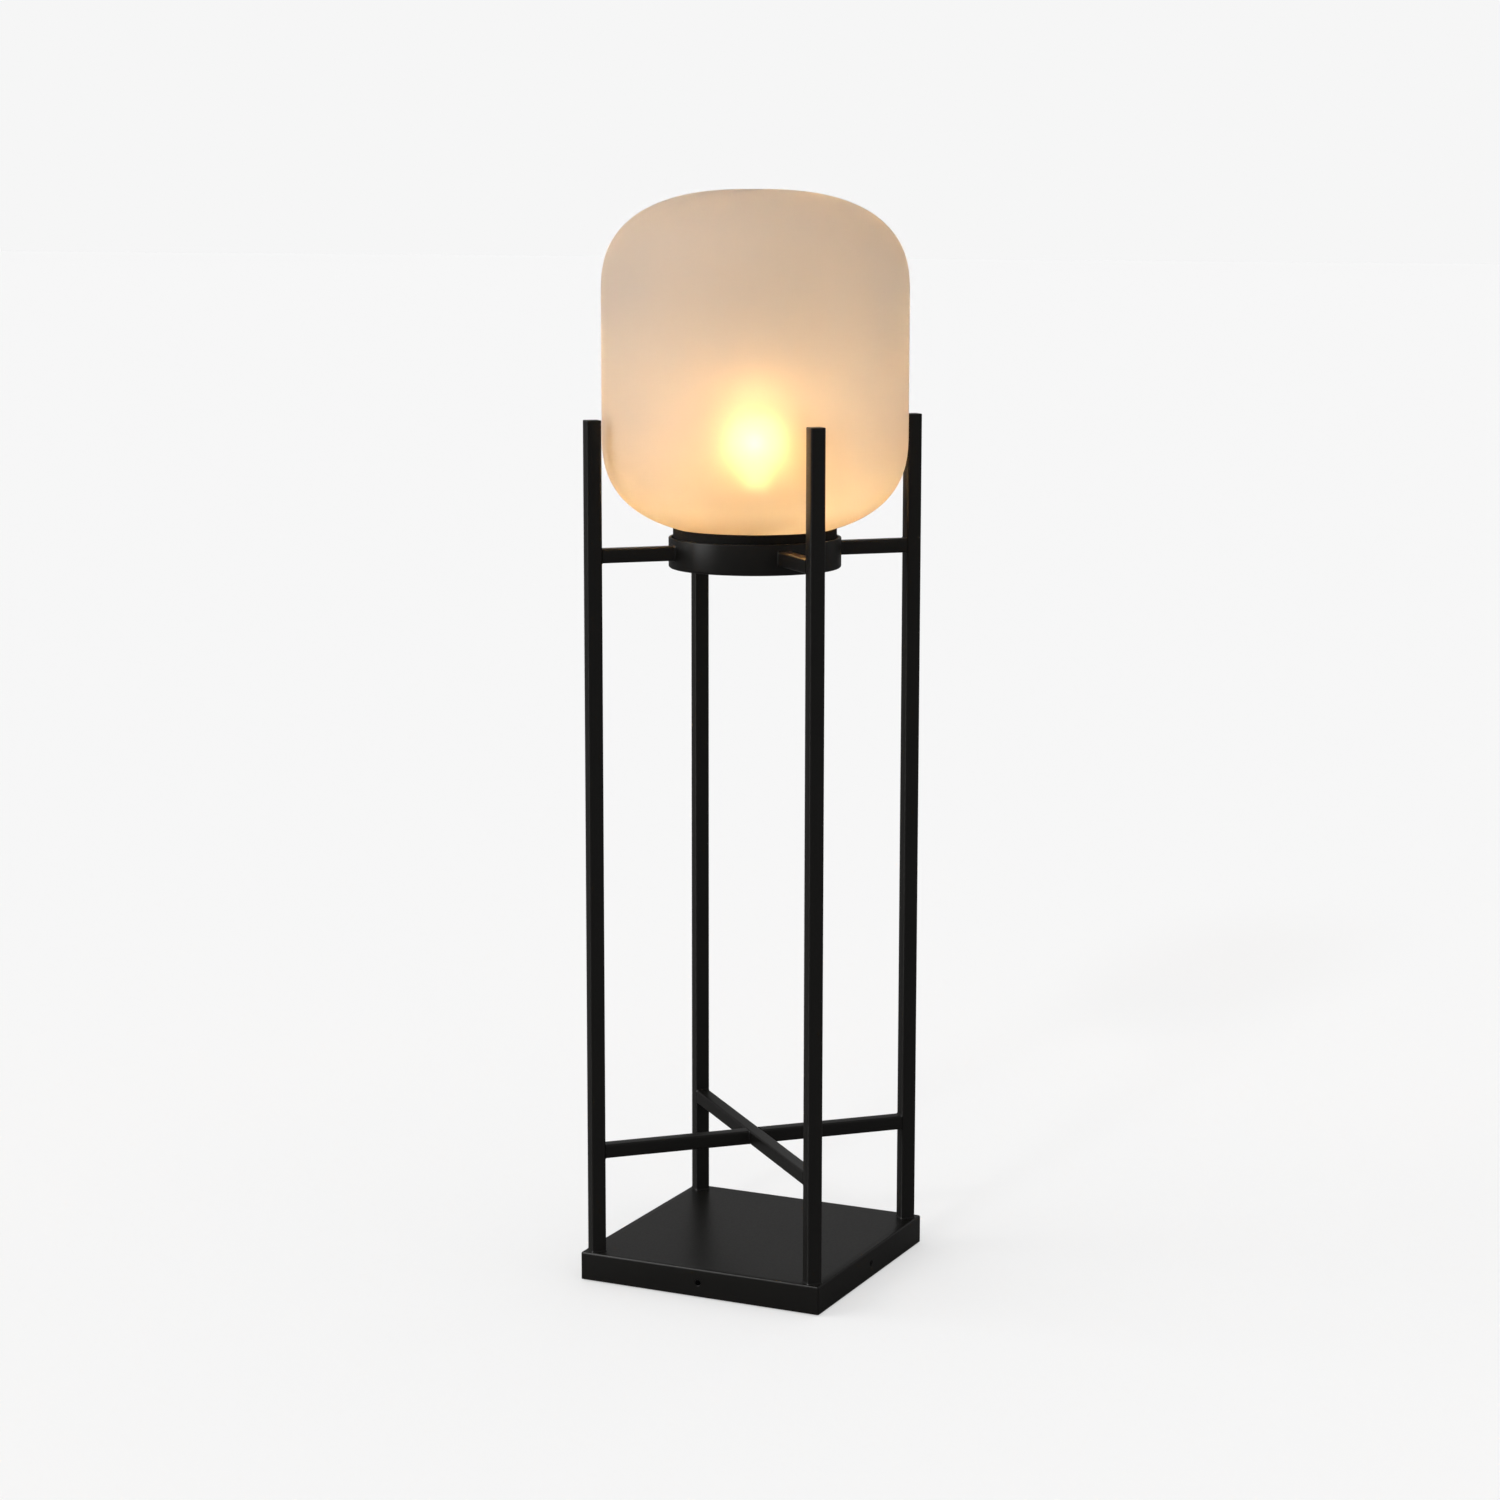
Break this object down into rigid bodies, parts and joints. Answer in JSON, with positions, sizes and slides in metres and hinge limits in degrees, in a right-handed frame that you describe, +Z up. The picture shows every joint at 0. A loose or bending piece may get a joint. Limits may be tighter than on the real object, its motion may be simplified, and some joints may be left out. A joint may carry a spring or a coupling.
{
  "type": "lantern floor lamp",
  "caption": "Floor lamp with a frosted glass barrel shade standing on a collar between slim square posts, on a square ballasted base.",
  "frame": {"origin": "centre of the footprint, on the floor under the lamp's axis", "axes": "+Z up the lamp's axis, -Y the front side, +X the right side seen from the front; the posts stand on the diagonals"},
  "size_m": [0.3, 0.2998, 1.077],
  "materials": {
    "black_powder_coat": "satin black powder coat",
    "ballast_steel": "sawn steel plate, dark mill scale",
    "tray_steel": "matt black paint",
    "zinc_screw": "zinc plated",
    "rubber": "matt black",
    "brass": "plain turned",
    "frosted_glass": "acid frosted, warm tint, lit from inside",
    "phenolic": "moulded",
    "porcelain": "glazed",
    "bulb_glass": "frosted inside",
    "bulb_cap_metal": "rolled",
    "bulb_insulator": "black glass",
    "clear_glass": "clear",
    "filament": "glowing wire",
    "block_plastic": "moulded",
    "lead_sheath": "extruded sheath"
  },
  "bodies": {
    "stand": {"base_cover": "black_powder_coat", "base_ballast": "ballast_steel", "base_tray": "tray_steel", "tray_screws": "zinc_screw", "rubber_feet": "rubber", "post_front_left": "black_powder_coat", "post_front_right": "black_powder_coat", "post_back_right": "black_powder_coat", "post_back_left": "black_powder_coat", "post_caps": "black_powder_coat", "foot_inserts": "zinc_screw", "post_bolts": "zinc_screw", "post_washers": "zinc_screw", "wire_foot_insert": "zinc_screw", "wire_foot_nipple": "brass", "wire_foot_washer": "zinc_screw", "wire_foot_nut": "zinc_screw", "brace_long": "black_powder_coat", "brace_half_left": "black_powder_coat", "brace_half_right": "black_powder_coat", "arm_front_left": "black_powder_coat", "arm_front_right": "black_powder_coat", "arm_back_right": "black_powder_coat", "arm_back_left": "black_powder_coat", "collar_ring": "black_powder_coat", "holder_disc": "black_powder_coat", "collar_under_cover": "black_powder_coat", "collar_standoffs": "brass", "gallery_screws": "zinc_screw", "cover_screws": "zinc_screw", "shade_gallery": "black_powder_coat", "shade_gasket": "rubber", "holder_nipple": "brass", "holder_washer": "zinc_screw", "holder_nut": "zinc_screw", "lampholder_cup": "phenolic", "lampholder_sleeve": "phenolic", "lampholder_core": "porcelain", "lampholder_thread": "brass", "lampholder_tongue": "brass", "lampholder_terminals": "brass", "terminal_block": "block_plastic", "terminal_screws": "zinc_screw", "cord_inlet": "rubber", "internal_lead": "lead_sheath"},
    "shade": {"glass_shade": "frosted_glass"},
    "bulb_rise_contact": {"bulb_contact": "bulb_cap_metal"},
    "bulb": {"bulb_glass": "bulb_glass", "bulb_cap": "bulb_cap_metal", "bulb_insulator": "bulb_insulator", "bulb_stem": "clear_glass", "bulb_filament": "filament"}
  },
  "joints": [
    {"name": "shade_lift", "type": "slide", "parent": "stand", "child": "shade", "axis": [0, 0, 1], "range_m": [0, 0.18]},
    {"name": "bulb_turn", "type": "hinge", "parent": "bulb_rise_contact", "child": "bulb", "pos_m": [0, 0, 0.8], "axis": [0, 0, 1], "range_deg": [0, 1440]},
    {"name": "bulb_rise", "type": "slide", "parent": "stand", "child": "bulb_rise_contact", "axis": [0, 0, 1], "range_m": [0, 0.01452]}
  ],
  "couplings": [
    {"joint": "bulb_rise", "follows": "bulb_turn", "m_per_rad": 0.00057757}
  ]
}
